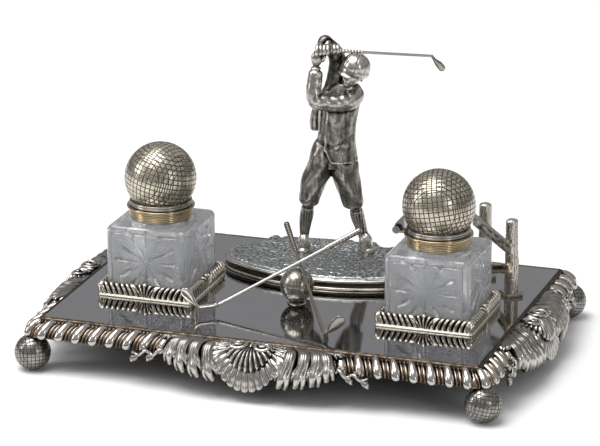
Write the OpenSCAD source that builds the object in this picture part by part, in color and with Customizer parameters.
// Silver desk inkstand in the golfing taste: a footed tray with a mirror-bright plate,
// two cut-glass inkwells under golf-ball lids, a club pen rest, a rustic fence and a golfer.
// Millimetres. The origin is on the table under the middle of the tray, +X runs along the
// front edge to the right, +Y to the rear and +Z up.

/* [Tray] */
// Width of the bright plate
plate_w = 268.6; // [262:0.2:290]
// Depth of the bright plate
plate_d = 180; // [176:0.5:200]
// Thickness of the bright plate
plate_t = 2; // [1.6:0.1:3]

/* [Border] */
// Height of the border castings, from their lower edge to the plate's face
border_h = 10.1; // [9.6:0.1:12]
// Width of the flat fillet between the plate and the gadroons
border_ledge = 2.6; // [2.6:0.1:3.4]
// How far each border casting reaches in under the plate
border_lap = 5; // [3:0.5:8]
// Thickness of the part under the plate
lap_t = 1.8; // [1.2:0.1:2.5]
// Wall of the hollow border castings
border_wall = 2.4; // [2:0.1:3]
// Distance from one gadroon to the next
lobe_pitch = 10.8; // [9.5:0.1:12]
// Thickness radius of a gadroon along its back
lobe_r = 2.4; // [2:0.1:2.6]
// Radius of the drop at a gadroon's lower end
lobe_tip_r = 3; // [2.7:0.1:3.3]
// Radius of the bend that each gadroon follows over the edge
lobe_sweep = 9; // [8.6:0.1:9.4]
// How far the gadroons lean away from the middle, in degrees
lobe_slant = 28; // [15:1:32]

/* [Shell mounts] */
// Half the length of the gap that a shell mount fills in the gadroons
mount_half = 46; // [45:0.5:48]
// How far a mount's lowest edge stands out from the plate
mount_reach = 19; // [17:0.5:21]
// How far a mount hangs below the plate's face
mount_drop = 23.5; // [22:0.5:26]
// Radius of the scallop's outer rim
shell_r = 21.5; // [19:0.5:23]
// Thickness of the scallop and the leaves
shell_t = 2.4; // [2:0.1:3]
// Number of rays on the scallop's rim
shell_rays = 12; // [10:1:16]

/* [Feet] */
// Radius of the ball feet
foot_r = 11; // [10:0.5:13]
// How much is turned off under each foot so that it stands flat
foot_flat = 0.3; // [0.2:0.1:0.6]
// How far outside the plate's edges each foot is centred
foot_out = 5.3; // [4.8:0.1:5.8]
// Radius of the studs that hold the feet
foot_stud_r = 2; // [1.5:0.1:2.4]
// Length of each stud inside its foot
foot_stud_deep = 7; // [5:0.5:9]
// Play of each stud in its hole, on the radius
stud_play = 0.05; // [0.02:0.01:0.08]
// Wall of the boss round each stud
boss_wall = 1.8; // [1.2:0.1:2.4]
// Metal left over each stud
boss_cap = 4; // [3:0.1:5]

/* [Inkwells] */
// Distance of each inkwell's centre from the plate's side edge
well_inset = 46.5; // [42:0.5:50]
// Distance of the inkwells' centres in front of the plate's middle
well_forward = 13.7; // [8:0.1:16]
// Side of the square glass bottles
glass_w = 52.4; // [50:0.2:56]
// Height of the glass up to its shoulder
glass_h = 43.1; // [40:0.1:50]
// Radius of the upright glass corners
glass_corner = 4; // [2:0.5:6]
// Bevel round the top of the glass
glass_bevel = 2.2; // [1:0.1:3]
// Height of the round step between the shoulder and the collar
shoulder_h = 1.7; // [1:0.1:3]
// Radius of the glass neck
neck_r = 16.6; // [15:0.1:17.2]
// Height of the glass neck above its step
neck_h = 6.2; // [5:0.1:6.4]
// Radius of the bottle's mouth
mouth_r = 13.2; // [10:0.1:13.6]
// Radius of the ink space
cavity_r = 18.5; // [14:0.1:20]
// Thickness of the glass under the ink
glass_base = 9; // [6:0.5:14]
// Height of the galleries that hold the bottles
gallery_h = 8.7; // [7:0.1:11]
// Wall of the galleries
gallery_t = 1.6; // [1.2:0.1:2.2]
// Play between a bottle and its gallery, each side
gallery_gap = 0.5; // [0.3:0.1:1]
// Height of the plain foot moulding round a gallery
gallery_foot_h = 1.5; // [1:0.1:2]
// How far the gadroon band stands out from the gallery's wall
band_t = 2.3; // [2:0.1:3]
// Radius of the small gadroons
rib_r = 1.25; // [1:0.05:1.4]
// Distance between the small gadroons
rib_pitch = 3.7; // [3.4:0.1:4.4]
// Lean of the small gadroons, in degrees
rib_slant = 24; // [10:1:30]

/* [Collars and lids] */
// Thickness of the gilt collars
collar_wall = 2.3; // [1.6:0.1:2.6]
// Height of the gilt collars
collar_h = 7.5; // [7:0.1:9]
// How far a collar's flange stands out from it
flange_out = 1.4; // [1:0.1:1.8]
// Thickness of the flange
flange_t = 1.6; // [1.2:0.1:2]
// Radius of the golf-ball lids
lid_r = 21.9; // [21:0.1:23]
// Wall of the hollow lids
lid_wall = 1.2; // [0.8:0.1:1.6]
// Height of the ring under each ball
rim_h = 3; // [2.4:0.1:4]
// Outer radius of the ring under each ball
rim_r = 18.6; // [18.2:0.1:19]
// Play between a lid's ring and its collar
lid_gap = 0.2; // [0.15:0.05:0.4]
// Distance of the hinge pin from the middle of the inkwell
hinge_out = 25; // [24.5:0.1:27]
// Radius of the hinge knuckles
knuckle_r = 2.4; // [2:0.1:2.5]
// Length of the middle knuckle
knuckle_l = 4.4; // [3:0.1:6]
// Length of each outer knuckle
knuckle_side_l = 2.6; // [2:0.1:4]
// Radius of the hinge pins
pin_r = 1; // [0.8:0.05:1.2]

/* [Pen rest] */
// Place of the pen rest's ball, to the right of the middle
rest_x = 1.2; // [-6:0.2:8]
// Distance of the pen rest's ball in front of the inkwells' centres
rest_forward = 6.1; // [4:0.1:9]
// Radius of the pen rest's ball
rest_ball_r = 10.3; // [9.5:0.1:11]
// Height of the collar that the ball stands on
rest_foot_h = 1.2; // [1:0.1:2]
// Radius of the club shafts
shaft_r = 1; // [0.8:0.05:1.2]
// Radius of the club grips
grip_r = 1.9; // [1.5:0.05:2.2]
// Length of the long club, from the crossing up to its end
long_up = 44.6; // [40:0.5:48]
// Length of the long club, from the crossing down to its bend
long_down = 54; // [50:0.5:56]
// Direction of the long club, in degrees from +X
long_turn = 39.8; // [36:0.2:42]
// Slope of the long club, in degrees
long_rise = 21.5; // [20:0.5:22]
// Length of the short club, from the ball up to its end
short_up = 34.6; // [30:0.5:38]
// Length of the short club, from the ball down to its head
short_down = 69.5; // [64:0.5:72]
// Direction of the short club, in degrees from +X
short_turn = 120.4; // [116:0.2:124]
// Slope of the short club, in degrees
short_rise = 16.4; // [15.8:0.2:17]

/* [Ground] */
// Half the length of the oval plinth
plinth_a = 66; // [60:0.5:70]
// Half the depth of the oval plinth
plinth_b = 34.5; // [32:0.5:36]
// Radius of the oval's rounded ends
plinth_end_r = 22; // [18:0.5:26]
// Distance of the plinth's centre from the plate's rear edge
plinth_inset = 47.4; // [44:0.2:48]
// Height of the moulded plinth
plinth_h = 6.4; // [5:0.1:8]
// Height of the turf above the plinth
turf_h = 2.4; // [1.8:0.1:4]
// Distance from the plinth's edge to the foot of the turf
turf_inset = 1.2; // [0.6:0.1:3]

/* [Golfer] */
// Height of the golfer, from the soles to the top of the cap
golfer_h = 129.6; // [110:0.5:140]
// Distance of the golfer behind the plinth's centre
golfer_behind = 9.4; // [8:0.2:11]
// Turn of the golfer on the ground, in degrees
golfer_turn = 18.8; // [0:0.2:30]
// Radius of the pegs under the golfer's shoes
peg_r = 1.5; // [1.2:0.1:2]
// Play of the pegs in their holes
peg_gap = 0.3; // [0.2:0.05:0.5]
// Thickness of the nuts under the plate
nut_t = 2.2; // [1.8:0.1:3]

/* [Fence] */
// Distance of the outer post from the plate's side edge
post_side_inset = 15; // [13:0.1:17]
// Distance of the outer post from the plate's rear edge
post_rear_inset = 55.1; // [52:0.1:58]
// Distance between the two posts
post_span = 35; // [32:0.5:38]
// Direction from the outer post to the inner one, in degrees from +X
fence_turn = 133.4; // [128:0.2:138]
// Radius of the posts
post_r = 4; // [3.4:0.1:4.4]
// Height of the posts above the plate
post_h = 48.5; // [42:0.5:54]
// Height of the square block under each post
block_h = 2.6; // [2:0.1:4]
// Side of the square block under each post
block_w = 11; // [9.6:0.2:12]
// Height of the top rail's middle above the plate
rail_z = 32; // [28:0.5:36]
// Width of the top rail
rail_w = 8; // [6:0.2:9]
// Thickness of the top rail
rail_t = 2; // [1.5:0.1:3]
// Fall of the top rail towards the front, in degrees
rail_fall = 6; // [0:0.5:10]
// Width of the rough lower rail
brace_w = 7; // [5:0.2:8]
// Thickness of the rough lower rail
brace_t = 3; // [2:0.1:3.6]

/* [Hidden] */
SIDES = ["front", "right", "rear", "left"];
CORNERS = ["front_left", "front_right", "rear_right", "rear_left"];
HANDS = ["left", "right"];
$fn = 48;

// Heights above the table
foot_top = 2 * foot_r - foot_flat;
face_z = foot_top + border_h;
under_z = face_z - plate_t;

// Gadroons
lobe_low = 20;
corner_low = 36;
lobe_set = 1.4;
lobe_drop = lobe_sweep + lobe_r + 0.3;
cove_r = lobe_sweep - 0.6;
lobe_run = lobe_sweep * cos(lobe_low) * sin(lobe_slant);
lobe_end = lobe_run + lobe_tip_r + 0.2;
mount_clear = mount_half + lobe_r + 0.2;

// Feet
boss_h = border_h - boss_cap;

// Shell mounts
mount_len = 1.32 * mount_drop;
hinge_w = 4.5;
shell_w = mount_len - shell_r - 0.3;

// Inkwells
well_x = plate_w / 2 - well_inset;
well_y = -well_forward;
gallery_in = glass_w + 2 * gallery_gap;
gallery_out = gallery_in + 2 * gallery_t;
band_out = gallery_out + 2 * band_t;
collar_z = glass_h + shoulder_h;
collar_top = collar_z + collar_h;
collar_r = neck_r + collar_wall;
flange_r = collar_r + flange_out;
rim_z = collar_top + lid_gap;
ball_cut_z = rim_z + rim_h;
seat_r = rim_r - 1.1;
ball_z = ball_cut_z + sqrt(lid_r * lid_r - seat_r * seat_r);
hinge_z = collar_top;
ear_gap = 0.15;
pin_l = knuckle_l + 2 * (knuckle_side_l + ear_gap) + 0.8;

// Pen rest
rest_y = well_y - rest_forward;
ball_foot_z = face_z + rest_foot_h;
ball_mid_z = ball_foot_z + rest_ball_r;
short_side = 2.5;
short_z = ball_mid_z + sqrt(pow(rest_ball_r + shaft_r + 0.02, 2) - short_side * short_side) / cos(short_rise);
long_z = short_z + 2.1 * shaft_r;

// Oval plinth of four arcs
oval_side_r = (plinth_a * plinth_a - 2 * plinth_a * plinth_end_r + plinth_b * plinth_b)
    / (2 * (plinth_b - plinth_end_r));
oval_end_turn = atan2(oval_side_r - plinth_b, plinth_a - plinth_end_r);
plinth_back = plate_d / 2 - plinth_inset;
turf_z = face_z + plinth_h;
ground_z = turf_z + turf_h;

// Golfer: drawn 129.6 high from the soles to the cap, and scaled from that
figure_k = golfer_h / 129.6;
golfer_back = plinth_back + golfer_behind;

// Fence
post_x = plate_w / 2 - post_side_inset;
post_y = plate_d / 2 - post_rear_inset;

silver = [0.74, 0.73, 0.71];
old_silver = [0.52, 0.50, 0.47];
gilt = [0.80, 0.62, 0.30];
crystal = [0.80, 0.86, 0.90, 0.45];
bronze = [0.36, 0.33, 0.29];
grass = [0.40, 0.44, 0.47];

function side_turn(side) = side == "front" ? 0 : side == "right" ? 90 : side == "rear" ? 180 : 270;
function is_long(side) = side == "front" || side == "rear";
function side_half(side) = (is_long(side) ? plate_w : plate_d) / 2;
function side_out(side) = (is_long(side) ? plate_d : plate_w) / 2;
function corner_x(c) = (c == "front_right" || c == "rear_right" ? 1 : -1) * plate_w / 2;
function corner_y(c) = (c == "rear_left" || c == "rear_right" ? 1 : -1) * plate_d / 2;
function corner_turn(c) =
    c == "front_right" ? -90 : c == "rear_right" ? 0 : c == "rear_left" ? 90 : 180;
function hand_x(hand) = (hand == "left" ? -1 : 1) * well_x;

// The middle of a side of the plate, at the plate's face, with -Y pointing outwards
module at_side(side) {
    rotate([0, 0, side_turn(side)]) translate([0, -side_out(side), face_z]) children();
}

// The plate's corner at the plate's face, with +X and +Y pointing outwards
module at_corner(c) {
    translate([corner_x(c), corner_y(c), face_z]) rotate([0, 0, corner_turn(c)]) children();
}

// An inkwell's middle on the plate; the hinge lies towards the local +Y
module at_well(hand) {
    translate([hand_x(hand), well_y, face_z]) rotate([0, 0, hand == "left" ? 0 : 90]) children();
}

// Stands a drawing up across the border: its x runs outwards and its y upwards
module across() {
    rotate([90, 0, -90]) children();
}

module at_oval() {
    translate([0, plinth_back, 0]) children();
}

module at_golfer() {
    translate([0, golfer_back, ground_z]) rotate([0, 0, golfer_turn]) scale(figure_k) children();
}

// Where the pegs of the figure and of the fence pass through the plate
function left_shoe() = [-17.6, 0];
function right_shoe() = [18.2, -1];
function turned(p, a) = [p[0] * cos(a) - p[1] * sin(a), p[0] * sin(a) + p[1] * cos(a)];
function shoe_place(p) = [0, golfer_back] + figure_k * turned(p, golfer_turn);
outer_post_place = [post_x, post_y];
inner_post_place = outer_post_place + post_span * [cos(fence_turn), sin(fence_turn)];
PEGS = [
    shoe_place(left_shoe()), shoe_place(right_shoe()),
    [rest_x, rest_y], outer_post_place, inner_post_place
];

module peg_holes(bottom, height) {
    for (p = PEGS) translate([p[0], p[1], bottom]) cylinder(r = peg_r + peg_gap, h = height);
}

module bright_plate() {
    color(silver) difference() {
        translate([-plate_w / 2, -plate_d / 2, under_z]) cube([plate_w, plate_d, plate_t]);
        peg_holes(under_z - 1, plate_t + 2);
    }
}

// Section of the border: fillet and hollow quarter-round, outwards from the plate's edge
module border_section(with_hollow = true) {
    difference() {
        union() {
            translate([0, -border_h]) square([border_ledge, border_h]);
            intersection() {
                translate([lobe_set, -lobe_drop]) circle(cove_r);
                translate([lobe_set, -border_h]) square([cove_r + 1, border_h]);
            }
        }
        if (with_hollow) intersection() {
            translate([lobe_set, -lobe_drop]) circle(cove_r - border_wall);
            translate([border_ledge, -border_h - 1]) square([cove_r, border_h]);
        }
    }
}

// One gadroon, bending over the edge from the fillet down to its drop
module lobe(low, slant) {
    translate([0, -lobe_set, -lobe_drop]) rotate([0, 0, slant]) across() rotate([0, 0, low]) {
        rotate_extrude(angle = 90 - low) translate([lobe_sweep, 0]) circle(lobe_r);
        translate([lobe_sweep, 0, 0]) sphere(lobe_tip_r);
    }
}

module border(side) {
    half = side_half(side);
    last = floor((half - lobe_end - mount_clear) / lobe_pitch);
    color(old_silver) at_side(side) {
        difference() {
            translate([half, 0, 0]) across() linear_extrude(2 * half) border_section();
            translate([-mount_half, -border_ledge - 2 * cove_r, -border_h - 1])
                cube([2 * mount_half, 2 * cove_r, border_h + 2]);
        }
        translate([-half + border_lap, -0.5, -plate_t - lap_t])
            cube([2 * (half - border_lap), border_lap + 0.5, lap_t]);
        for (m = [0, 1], k = [0 : last]) mirror([m, 0, 0])
            translate([half - lobe_end - k * lobe_pitch, 0, 0]) lobe(lobe_low, lobe_slant);
    }
}

module corner_casting(c) {
    color(old_silver) at_corner(c) difference() {
        union() {
            rotate_extrude(angle = 90) border_section();
            translate([foot_out, foot_out, -border_h]) cylinder(r = foot_stud_r + boss_wall, h = boss_h);
            intersection() {
                rotate([0, 0, 135]) lobe(corner_low, 0);
                translate([0, 0, -2 * border_h]) cube(3 * border_h);
            }
        }
        translate([foot_out, foot_out, -border_h - 1]) cylinder(r = foot_stud_r + stud_play, h = boss_h);
    }
}

module foot(c) {
    color(old_silver) at_corner(c) translate([foot_out, foot_out, -face_z + foot_r - foot_flat])
        difference() {
            sphere(foot_r);
            translate([-foot_r, -foot_r, -2 * foot_r + foot_flat - foot_r])
                cube([2 * foot_r, 2 * foot_r, 2 * foot_r]);
            translate([0, 0, foot_r - foot_stud_deep]) cylinder(r = foot_stud_r + stud_play, h = foot_stud_deep + 1);
        }
}

module foot_studs() {
    color(silver) for (c = CORNERS) at_corner(c)
        translate([foot_out, foot_out, -border_h - foot_stud_deep + stud_play])
            cylinder(r = foot_stud_r, h = foot_stud_deep + boss_h - 1 - 2 * stud_play);
}

// Two triangles that fill four points
function quad(a, b, c, d) = [[a, b, c], [a, c, d]];

// A solid skin between two grids of points, listed column by column
module skin(top, under, cols, rows) {
    n = cols * rows;
    end = cols - 1;
    rim = rows - 1;
    function at(c, r) = c * rows + r;
    faces = concat(
        [for (c = [0 : end - 1], r = [0 : rim - 1]) each concat(
            quad(at(c, r), at(c + 1, r), at(c + 1, r + 1), at(c, r + 1)),
            quad(n + at(c, r), n + at(c, r + 1), n + at(c + 1, r + 1), n + at(c + 1, r)))],
        [for (c = [0 : end - 1]) each concat(
            quad(at(c, 0), n + at(c, 0), n + at(c + 1, 0), at(c + 1, 0)),
            quad(at(c, rim), at(c + 1, rim), n + at(c + 1, rim), n + at(c, rim)))],
        [for (r = [0 : rim - 1]) each concat(
            quad(at(0, r), at(0, r + 1), n + at(0, r + 1), n + at(0, r)),
            quad(at(end, r), n + at(end, r), n + at(end, r + 1), at(end, r + 1)))]
    );
    polyhedron(points = concat(top, under), faces = faces, convexity = 6);
}

// A point on a mount's curved face: u along the side, w down over the face, and its lift
function fall(w) = 90 * w / mount_len;
function on_mount(u, w, lift) = [
    u,
    -border_ledge - (mount_reach - border_ledge) * sin(fall(w)) * (1 - 0.22 * pow(u / mount_half, 2))
        - lift * sin(fall(w)),
    -0.6 - (mount_drop - 0.6) * (1 - cos(fall(w))) + lift * cos(fall(w))
];

// Distance from the scallop's hinge to its rim along the ray at an angle from straight down
function rim_reach(a) = let (d = shell_w - hinge_w)
    d * cos(a) + sqrt(shell_r * shell_r - pow(d * sin(a), 2));

SHELL_ROWS = [[0.08, 1.6], [0.62, 3.2], [0.68, 1.4], [1, 1.6]];
function shell_point(col, row, down) =
    let (
        cols = 2 * shell_rays,
        a = -100 + 200 * col / cols,
        ridge = col % 2 == 0 ? -0.55 : 0.55,
        t = SHELL_ROWS[row][0],
        scallop = row == len(SHELL_ROWS) - 1 ? 1 + 0.035 * sign(ridge) : 1,
        reach = rim_reach(a) * t * scallop,
        lift = SHELL_ROWS[row][1] + ridge * (0.3 + t) - down
    )
    on_mount(reach * sin(a), hinge_w + reach * cos(a), lift);

// The scallop: rays spread from the hinge, with a raised fan inside a fluted rim
module scallop() {
    cols = 2 * shell_rays + 1;
    rows = len(SHELL_ROWS);
    function grid(down) = [for (c = [0 : cols - 1], r = [0 : rows - 1]) shell_point(c, r, down)];
    skin(grid(0), grid(shell_t), cols, rows);
}

// A round-backed ribbon through [u, w, lift, radius] points on the mount's face
module ribbon(points) {
    for (i = [0 : len(points) - 2]) hull() for (p = [points[i], points[i + 1]])
        translate(on_mount(p[0], p[1], p[2])) sphere(p[3], $fn = 6);
}

// Acanthus leaves beside the scallop: root, bow and tip in u and w, and the half width
ACANTHUS = [
    [[13, 3], [29, 13], [21.5, 28], 4.1],
    [[22, 2.5], [38.5, 12], [31, 26.8], 4.1],
    [[30, 2.5], [45.5, 9], [39.8, 25.6], 4],
    [[38, 2.5], [49, 8], [47, 23.5], 3]
];
LEAF_WIDTHS = [0.5, 0.9, 1, 0.95, 0.35];
LEAF_LIFTS = [0.1, 2, 0.1];

function bow(leaf, t) = (1 - t) * (1 - t) * leaf[0] + 2 * t * (1 - t) * leaf[1] + t * t * leaf[2];
function bow_turn(leaf, t) = let (d = (1 - t) * (leaf[1] - leaf[0]) + t * (leaf[2] - leaf[1]))
    [-d[1], d[0]] / norm(d);

// One leaf, ridged along its middle, on the right (1) or the left (-1) of the scallop
module leaf(form, hand) {
    rows = len(LEAF_LIFTS);
    last = len(LEAF_WIDTHS) - 1;
    function spot(c, r, down) =
        let (
            t = c / last,
            across = (r / (rows - 1) - 0.5) * 2 * form[3] * LEAF_WIDTHS[c],
            p = bow(form, t) + across * bow_turn(form, t)
        )
        on_mount(hand * p[0], p[1], LEAF_LIFTS[r] + 1.2 * sin(180 * t) - down);
    function grid(down) = [for (c = [0 : last], r = [0 : rows - 1]) spot(c, hand > 0 ? r : rows - 1 - r, down)];
    skin(grid(0), grid(shell_t), last + 1, rows);
}

module shell_mount(side) {
    color(old_silver) at_side(side) intersection() {
        union() {
            scallop();
            translate([-mount_half, -border_ledge - 2.2, -border_h]) cube([2 * mount_half, 2.2, border_h - 0.8]);
            for (m = [-1, 1]) {
                for (form = ACANTHUS) leaf(form, m);
                ribbon([[m * 3, 3.4, 2.2, 1.6], [m * 7.6, 3.8, 2.4, 2.4], [m * 8.6, 6.4, 2.2, 1.6]]);
                ribbon([[m * 46, 20, 0.6, 1.6], [m * 56, 25.4, 1, 1.5], [m * 70, 24.6, 1, 1]]);
            }
        }
        translate([-2 * mount_half, -border_ledge - 40, -mount_drop - 20])
            cube([4 * mount_half, 40, mount_drop + 20]);
    }
}

// The square gallery that a bottle stands in, with a plain foot moulding
module gallery(hand) {
    color(old_silver) at_well(hand) difference() {
        union() {
            translate([-gallery_out / 2, -gallery_out / 2, 0]) cube([gallery_out, gallery_out, gallery_h - 0.8]);
            translate([-band_out / 2, -band_out / 2, 0]) cube([band_out, band_out, gallery_foot_h]);
        }
        translate([-gallery_in / 2, -gallery_in / 2, -1]) cube([gallery_in, gallery_in, gallery_h + 2]);
    }
}

module rib(lean, height) {
    rotate([0, lean, 0]) {
        cylinder(r = rib_r, h = height);
        translate([0, 0, height]) sphere(rib_r + 0.15);
    }
}

// One cast strip of small gadroons, leaning out from a little fan in its middle
module gadroon_strip() {
    reach = gallery_out / 2 - rib_pitch / 2;
    rib_h = gallery_h - gallery_foot_h - rib_r - 0.2;
    count = floor((reach - 2.2 * rib_pitch) / rib_pitch);
    translate([-gallery_out / 2, -0.8, 0]) cube([gallery_out, 0.8, gallery_h - gallery_foot_h - 0.8]);
    intersection() {
        union() {
            for (m = [0, 1], k = [0 : count]) mirror([m, 0, 0])
                translate([1.7 * rib_pitch + k * rib_pitch, -0.8, -0.4]) rib(rib_slant, rib_h);
            for (a = [-42, 0, 42]) translate([0, -0.8, -0.4]) rib(a, rib_h + 0.6 * (1 - abs(a) / 42));
        }
        translate([-gallery_out / 2, -band_t, 0]) cube([gallery_out, band_t, gallery_h]);
    }
}

module gadroon_band(hand) {
    color(silver) at_well(hand) for (q = [0 : 3]) rotate([0, 0, 90 * q]) {
        translate([0, -gallery_out / 2, gallery_foot_h]) gadroon_strip();
        translate([gallery_out / 2, -gallery_out / 2, gallery_foot_h]) intersection() {
            translate([0.4, -0.4, 0]) cylinder(r = 1.7, h = gallery_h - gallery_foot_h);
            translate([0, -band_t, 0]) cube([band_t, band_t, gallery_h]);
        }
    }
}

// A square with true round corners
module rounded_square(w, r) {
    square([w - 2 * r, w], center = true);
    square([w, w - 2 * r], center = true);
    for (x = [-1, 1], y = [-1, 1]) translate([x * (w / 2 - r), y * (w / 2 - r)]) circle(r);
}

// Section of the glass block from one side, bevelled along its top
module bevelled_side() {
    h = glass_w / 2;
    polygon([[-h, 0], [h, 0], [h, glass_h - glass_bevel], [h - glass_bevel, glass_h],
        [-h + glass_bevel, glass_h], [-h, glass_h - glass_bevel]]);
}

module glass(hand) {
    color(crystal) at_well(hand) difference() {
        union() {
            intersection() {
                linear_extrude(glass_h) rounded_square(glass_w, glass_corner);
                translate([0, glass_w / 2 + 1, 0]) rotate([90, 0, 0]) linear_extrude(glass_w + 2) bevelled_side();
                translate([-glass_w / 2 - 1, 0, 0]) rotate([90, 0, 90]) linear_extrude(glass_w + 2) bevelled_side();
            }
            cylinder(r = collar_r + 0.8, h = collar_z);
            cylinder(r = neck_r, h = collar_z + neck_h);
        }
        rotate_extrude() polygon([[0, glass_base], [cavity_r, glass_base], [cavity_r, glass_h - 9],
            [mouth_r, glass_h - 3], [mouth_r, collar_z + neck_h + 1], [0, collar_z + neck_h + 1]]);
    }
}

// Places children at the hinge line, with x along the pin
module at_hinge() {
    translate([0, hinge_out, hinge_z]) children();
}

// Gilt collar cemented on the glass neck, with the fixed half of the hinge behind it
module collar(hand) {
    side_at = (knuckle_l + knuckle_side_l) / 2 + ear_gap;
    color(gilt) at_well(hand) {
        difference() {
            union() {
                translate([0, 0, collar_z]) cylinder(r = collar_r, h = collar_h);
                translate([0, 0, collar_top - flange_t]) cylinder(r = flange_r, h = flange_t);
                for (m = [-1, 1]) translate([m * side_at - knuckle_side_l / 2, flange_r - 2, collar_top - flange_t])
                    cube([knuckle_side_l, hinge_out - flange_r + 2, flange_t]);
                for (m = [-1, 1]) translate([m * side_at, hinge_out, hinge_z]) rotate([0, 90, 0])
                    cylinder(r = knuckle_r, h = knuckle_side_l, center = true);
            }
            translate([0, 0, collar_z - 1]) cylinder(r = neck_r, h = neck_h + 1);
            translate([0, 0, collar_z]) cylinder(r = mouth_r + 0.6, h = collar_h + 1);
            at_hinge() rotate([0, 90, 0]) cylinder(r = pin_r + 0.02, h = 4 * pin_l, center = true);
        }
    }
}

module hinge_pin(hand) {
    color(silver) at_well(hand) at_hinge() rotate([0, 90, 0])
        cylinder(r = pin_r, h = pin_l, center = true);
}

// Ring that the ball stands on, with the moving ear of the hinge
module lid_rim(hand) {
    color(old_silver) at_well(hand) difference() {
        union() {
            translate([0, 0, rim_z]) cylinder(r = rim_r, h = rim_h);
            at_hinge() rotate([0, 90, 0]) cylinder(r = knuckle_r, h = knuckle_l, center = true);
            translate([-knuckle_l / 2, 0, 0]) rotate([90, 0, 90]) linear_extrude(knuckle_l)
                polygon([[rim_r - 2, rim_z], [hinge_out, rim_z], [hinge_out + 0.9 * knuckle_r, hinge_z + 1],
                    [hinge_out + 0.5 * knuckle_r, hinge_z + 3.4], [lid_r - 1.4, ball_cut_z + 6.5],
                    [rim_r - 2, ball_cut_z + 4]]);
        }
        translate([0, 0, rim_z - 1]) cylinder(r = rim_r - 3, h = rim_h + 2);
        translate([0, 0, ball_z]) sphere(lid_r);
        translate([0, 0, ball_cut_z]) cylinder(r = seat_r, h = 8);
        at_hinge() rotate([0, 90, 0]) cylinder(r = pin_r + 0.05, h = 4 * pin_l, center = true);
        translate([-knuckle_l, 0, 0]) cube([2 * knuckle_l, hinge_out - knuckle_r, rim_z]);
    }
}

module lid_ball(hand) {
    color(old_silver) at_well(hand) translate([0, 0, ball_z]) difference() {
        sphere(lid_r);
        sphere(lid_r - lid_wall);
        translate([-lid_r, -lid_r, ball_cut_z - ball_z - 2 * lid_r]) cube(2 * lid_r);
    }
}

module rest_ball() {
    color(old_silver) translate([rest_x, rest_y, 0]) {
        translate([0, 0, ball_mid_z]) sphere(rest_ball_r);
        translate([0, 0, face_z]) cylinder(r = rest_ball_r / 2, h = rest_foot_h + 1.5);
        translate([0, 0, under_z - nut_t - 1]) cylinder(r = peg_r, h = plate_t + nut_t + 1.5);
    }
}

// A thin iron head: hull through discs from the heel to the toe
module iron_head(turn, length, rise) {
    rotate([0, 0, turn]) rotate([0, -rise, 0]) hull() {
        translate([-1, 0, 0]) rotate([90, 0, 0]) cylinder(r = shaft_r + 0.3, h = 1.8, center = true, $fn = 24);
        translate([0.6 * length, 0, 0.8]) rotate([90, 0, 0]) cylinder(r = 2.8, h = 1.5, center = true, $fn = 24);
        translate([length - 2.6, 0, 1]) rotate([90, 0, 0]) cylinder(r = 2.6, h = 1.2, center = true, $fn = 24);
    }
}

// A shaft from its middle: the grip end climbs along +X and the head end falls along -X
module club(up, down, rise, grip) {
    rotate([0, -rise, 0]) rotate([0, 90, 0]) {
        translate([0, 0, -down]) cylinder(r = shaft_r, h = down + up);
        translate([0, 0, up - grip]) cylinder(r = grip_r, h = grip);
    }
}

module long_club() {
    bend_z = long_z - long_down * sin(long_rise);
    color(silver) {
        translate([rest_x, rest_y, long_z]) rotate([0, 0, long_turn]) club(long_up, long_down, long_rise, 24);
        translate([rest_x, rest_y, bend_z]) rotate([0, 0, long_turn]) translate([-long_down * cos(long_rise), 0, 0]) {
            sphere(shaft_r + 0.1);
            rotate([0, -90, 0]) cylinder(r = shaft_r, h = 12);
            translate([-12, 0, 0]) iron_head(128, 16, 32);
            translate([-14, -1.2, face_z - bend_z]) cube([5, 2.4, bend_z - face_z]);
        }
    }
}

module short_club() {
    side_x = short_side * sin(short_turn);
    side_y = -short_side * cos(short_turn);
    head_z = short_z - short_down * sin(short_rise);
    color(bronze) translate([rest_x + side_x, rest_y + side_y, 0]) {
        translate([0, 0, short_z]) rotate([0, 0, short_turn]) club(short_up, short_down, short_rise, 24);
        translate([0, 0, head_z]) rotate([0, 0, short_turn]) translate([-short_down * cos(short_rise), 0, 0]) {
            iron_head(-104, 16, 38);
            translate([-1, -1.2, face_z - head_z]) cube([4, 2.4, head_z - face_z + 0.4]);
        }
    }
}

// Edge of the oval in a direction, drawn in by an inset
function oval_edge(a, inset) =
    let (c = [plinth_a - plinth_end_r, 0], t = oval_end_turn, r = plinth_end_r - inset,
        q = a > 180 ? a - 360 : a, s = abs(q) > 90 ? -1 : 1, v = q < 0 ? -1 : 1,
        f = abs(q) > 90 ? 180 - abs(q) : abs(q))
    f < t
        ? [s * (c[0] + r * cos(f)), v * r * sin(f)]
        : [s * (oval_side_r - inset) * cos(f), v * ((oval_side_r - inset) * sin(f) - oval_side_r + plinth_b)];

OVAL_STEPS = 44;

// A closed body through ovals, each given as its inset from the edge, its height and its ripple
module oval_stack(rings) {
    points = [for (r = rings, i = [0 : OVAL_STEPS - 1])
        let (p = oval_edge(360 * i / OVAL_STEPS, r[0] + r[2] * sin(i * 97))) [p[0], p[1], r[1]]];
    last = (len(rings) - 1) * OVAL_STEPS;
    faces = concat(
        [[for (i = [0 : OVAL_STEPS - 1]) i]],
        [for (r = [0 : len(rings) - 2], i = [0 : OVAL_STEPS - 1])
            let (j = (i + 1) % OVAL_STEPS, b = r * OVAL_STEPS, t = b + OVAL_STEPS)
            each quad(b + i, t + i, t + j, b + j)],
        [[for (i = [OVAL_STEPS - 1 : -1 : 0]) last + i]]
    );
    polyhedron(points = points, faces = faces, convexity = 6);
}

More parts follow.
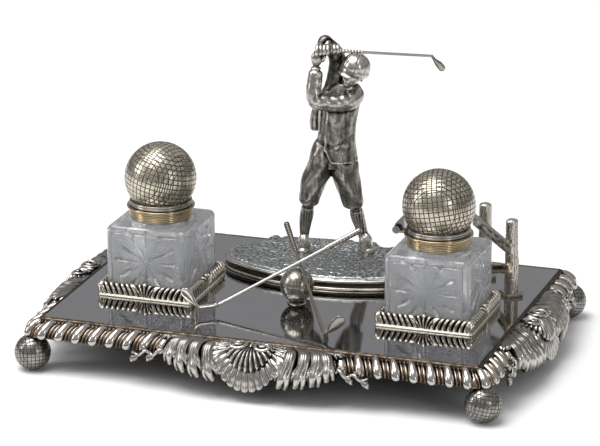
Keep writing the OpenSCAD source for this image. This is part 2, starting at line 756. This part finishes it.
// Moulded plinth: a bead, a hollow band and a second bead
module plinth() {
    h = plinth_h;
    color(old_silver) difference() {
        at_oval() translate([0, 0, face_z]) oval_stack([
            [0.5, 0, 0], [0, 0.12 * h, 0], [0.2, 0.28 * h, 0], [1.2, 0.38 * h, 0],
            [1.2, 0.62 * h, 0], [0.2, 0.72 * h, 0], [0, 0.88 * h, 0], [0.5, h, 0]]);
        peg_holes(face_z - 1, h + 2);
    }
}

// The grass mound, with low ripples along its shoulder and level ground on top
module turf() {
    color(grass) difference() {
        at_oval() translate([0, 0, turf_z]) oval_stack([
            [turf_inset, 0, 0], [turf_inset + 0.2, 0.5 * turf_h, 0.35],
            [turf_inset + 3, 0.85 * turf_h, 0.35], [turf_inset + 9, turf_h, 0]]);
        peg_holes(turf_z - 1, turf_h + 2);
    }
}

// A limb through [x, y, z, radius] joints
module limb(joints) {
    for (i = [0 : len(joints) - 2]) hull() for (j = [joints[i], joints[i + 1]])
        translate([j[0], j[1], j[2]]) sphere(j[3], $fn = 10);
}

module blob(at, radii) {
    translate(at) scale(radii) sphere(1, $fn = 14);
}

module golfer_legs() {
    limb([[-8, 0, 58, 8.6], [-12.4, -1, 46, 6.9], [-14, -2, 36, 5.6], [-15.4, -1, 30, 5]]);
    limb([[-15.6, -0.5, 29, 3.9], [-16.9, 0.5, 21, 4], [-17.6, 0.5, 8, 2.7]]);
    limb([[-17.6, 1.5, 3, 3], [-18, -7, 1.8, 2.6]]);
    limb([[6, 0, 58, 8.6], [8.4, -1, 46, 7.2], [12, -2.5, 35, 6.1], [14, -1.5, 28, 5.2]]);
    limb([[14.2, -1, 27, 3.9], [15.6, 0.5, 20, 3.9], [17.6, 1, 8, 2.8]]);
    limb([[17.8, 1.5, 3, 3.1], [19.6, -7, 1.9, 2.7]]);
}

module golfer_body() {
    hull() {
        blob([0, 0, 62], [13.8, 9.4, 5]);
        blob([1.2, 0, 80], [12, 8, 6]);
    }
    hull() {
        blob([1.2, 0, 80], [12, 8, 6]);
        blob([4, 0.5, 96], [11.2, 7.6, 7]);
    }
    hull() {
        blob([-9, 3, 84], [3, 3.5, 5]);
        blob([-11, 3.5, 78], [2, 3, 2]);
    }
    limb([[9, 0, 100, 5], [12.4, -1.5, 110, 4.6]]);
}

module golfer_arms() {
    limb([[14.6, -2, 99.5, 5], [4, -6.5, 98.6, 4.9], [-8.6, -8.4, 99.6, 4.6], [-10, -7.6, 106, 4.1], [-10.2, -4.6, 119, 3]]);
    limb([[-10.2, -4.6, 119, 3.5], [-10, -4.4, 121, 3.5]]);
    limb([[-9.8, -4.2, 122, 2.3], [-8.4, -2.6, 127.4, 3.2], [-1, -0.6, 130.6, 3]]);
    limb([[-3, 5, 97, 5.4], [0.6, 7.6, 110, 5.2], [-0.8, 8, 126, 4.8], [-3, 5.4, 132.4, 4.6], [1, 0.4, 131.6, 3.2]]);
}

// Head bowed a little over the near shoulder, under a round sectioned cap
module golfer_head() {
    blob([12.6, -3.4, 114.6], [7, 7.8, 8.6]);
    blob([14, -1.8, 119.8], [9, 9.4, 9.8]);
    hull() {
        blob([9.5, -6.6, 115.6], [6, 4.6, 1.2]);
        blob([13, -2.4, 117.6], [8.8, 9, 1.4]);
    }
}

module golfer() {
    color(bronze) at_golfer() {
        difference() {
            union() {
                golfer_legs();
                golfer_body();
                golfer_arms();
                golfer_head();
            }
            translate([-60, -60, -20]) cube([120, 120, 20]);
            golfer_club_line(0.12);
        }
        for (p = [left_shoe(), right_shoe()]) translate([p[0], p[1], 0])
            translate([0, 0, -(ground_z - under_z + nut_t + 1) / figure_k])
                cylinder(r = peg_r / figure_k, h = (ground_z - under_z + nut_t + 1) / figure_k + 2, $fn = 16);
    }
}

// The golfer's club, from the butt in the hands to the head behind the cap
function club_butt() = [-11, -2.2, 130.8];
function club_heel() = [61, 4.6, 124.7];
function club_toe() = [66.8, 3.2, 116.4];

module golfer_club_line(spare) {
    hull() for (e = [[club_butt(), 1.25], [club_heel(), 0.85]])
        translate(e[0]) sphere(e[1] + spare, $fn = 8);
}

module golfer_club() {
    color(silver) at_golfer() {
        golfer_club_line(0);
        hull() {
            translate(club_heel()) sphere(1.3, $fn = 8);
            translate(club_toe()) rotate([90, 0, 20]) cylinder(r = 2.4, h = 1.6, center = true, $fn = 16);
        }
    }
}

// The outer post is the frame's origin, and x runs along the rails to the inner one
module at_fence() {
    translate([post_x, post_y, face_z]) rotate([0, 0, fence_turn]) children();
}

module top_rail_form() {
    reach = 8;
    translate([0, post_r - 1, rail_z]) rotate([0, -rail_fall, 0]) translate([-reach, 0, -rail_w / 2])
        rotate([90, 0, 0]) mirror([0, 0, 1]) linear_extrude(rail_t)
            polygon([[0, 1.2], [post_span + 2 * reach, 0], [post_span + 2 * reach, rail_w], [0, rail_w - 1]]);
}

module lower_rail_form() {
    translate([0, post_r - 1.2, 17.7]) rotate([0, 17.5, 0]) translate([-7, 0, -brace_w / 2])
        cube([post_span + 8, brace_t, brace_w]);
}

module fence_post(at) {
    color(bronze) at_fence() difference() {
        translate([at, 0, 0]) union() {
            intersection() {
                translate([0, 0, block_h]) cylinder(r1 = post_r + 0.3, r2 = post_r - 0.3, h = post_h - block_h);
                translate([0, 0, post_h - 2.2 * post_r]) sphere(2.2 * post_r);
            }
            intersection() {
                translate([0, 0, block_h]) cylinder(r1 = post_r + 0.3, r2 = post_r - 0.3, h = post_h - block_h);
                cylinder(r = 2 * post_r, h = post_h - 2.2 * post_r);
            }
            translate([0, 0, -plate_t - nut_t - 1]) cylinder(r = peg_r, h = plate_t + nut_t + block_h + 2);
        }
        top_rail_form();
        lower_rail_form();
    }
}

module post_blocks() {
    color(silver) at_fence() for (at = [0, post_span]) translate([at, 0, 0]) difference() {
        translate([-block_w / 2, -block_w / 2, 0]) cube([block_w, block_w, block_h]);
        translate([0, 0, -1]) cylinder(r = peg_r + peg_gap, h = block_h + 2);
    }
}

module top_rail() {
    color(bronze) at_fence() top_rail_form();
}

module lower_rail() {
    color(bronze) at_fence() intersection() {
        lower_rail_form();
        translate([-20, 0, 0]) cube([post_span + 60, 20, 60]);
    }
}

module fixing_nuts() {
    color(silver) for (p = PEGS) translate([p[0], p[1], under_z - nut_t]) difference() {
        cylinder(r = 2 * peg_r + 0.4, h = nut_t, $fn = 6);
        translate([0, 0, -1]) cylinder(r = peg_r + 0.1, h = nut_t + 2);
    }
}

bright_plate();
for (side = SIDES) border(side);
for (c = CORNERS) corner_casting(c);
for (side = SIDES) shell_mount(side);
for (c = CORNERS) foot(c);
foot_studs();
fixing_nuts();
for (hand = HANDS) gallery(hand);
for (hand = HANDS) gadroon_band(hand);
for (hand = HANDS) glass(hand);
for (hand = HANDS) collar(hand);
for (hand = HANDS) hinge_pin(hand);
for (hand = HANDS) lid_rim(hand);
for (hand = HANDS) lid_ball(hand);
rest_ball();
long_club();
short_club();
plinth();
turf();
golfer();
golfer_club();
fence_post(post_span);  // inner_post
fence_post(0);  // outer_post
post_blocks();
top_rail();
lower_rail();
